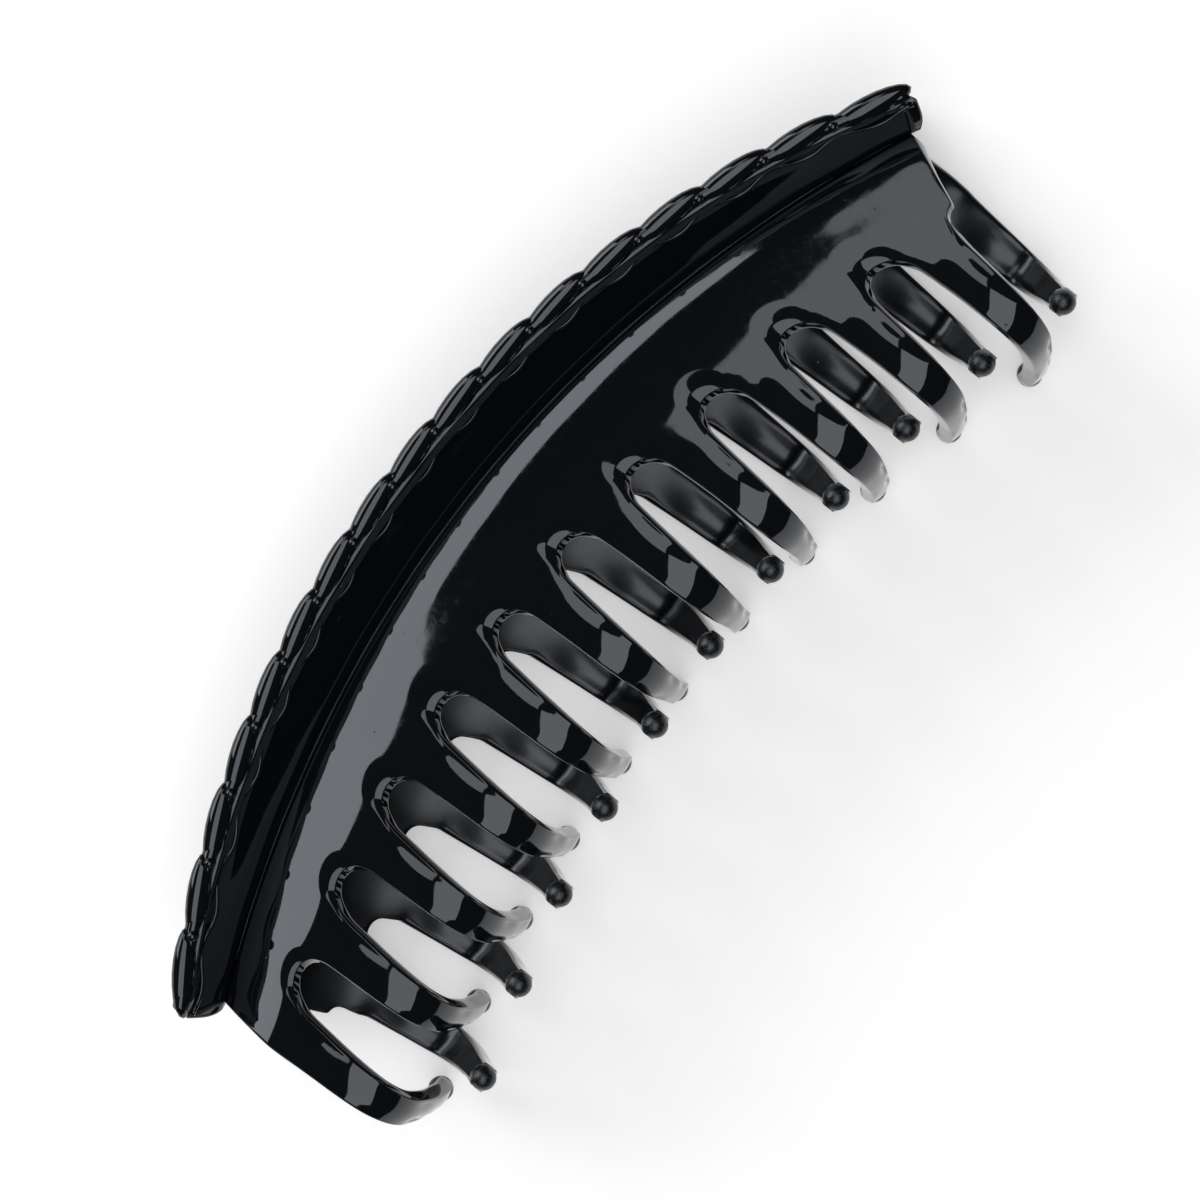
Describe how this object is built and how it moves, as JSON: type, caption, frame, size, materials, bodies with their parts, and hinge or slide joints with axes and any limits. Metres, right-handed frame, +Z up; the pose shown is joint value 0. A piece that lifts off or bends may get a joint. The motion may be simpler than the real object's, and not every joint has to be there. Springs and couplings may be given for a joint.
{
  "type": "banana hair clip",
  "caption": "Long arched claw hair clip in glossy black plastic: two jaws with curved teeth and a twisted-rope grip edge on a sprung hinge.",
  "frame": {"origin": "middle of the clip's bounding box, on the surface that it lies on", "axes": "+X along the clip, +Y from the teeth towards the grip edges, +Z up from the lower jaw to the upper jaw"},
  "size_m": [0.1392, 0.0548, 0.0289],
  "materials": {
    "black_plastic": "glossy black moulded plastic",
    "spring_steel": "plain drawn steel wire and bar"
  },
  "bodies": {
    "lower": {"lower_jaw": "black_plastic", "hinge_pin": "spring_steel", "torsion_spring": "spring_steel"},
    "upper": {"upper_jaw": "black_plastic"}
  },
  "joints": [
    {"name": "jaw_hinge", "type": "hinge", "parent": "lower", "child": "upper", "pos_m": [0, 0.0179, 0.01445], "axis": [-1, 0, 0], "range_deg": [0, 60], "stiffness_Nm_per_rad": 0.06, "springref_deg": -85.94, "deforming": ["torsion_spring"]}
  ]
}
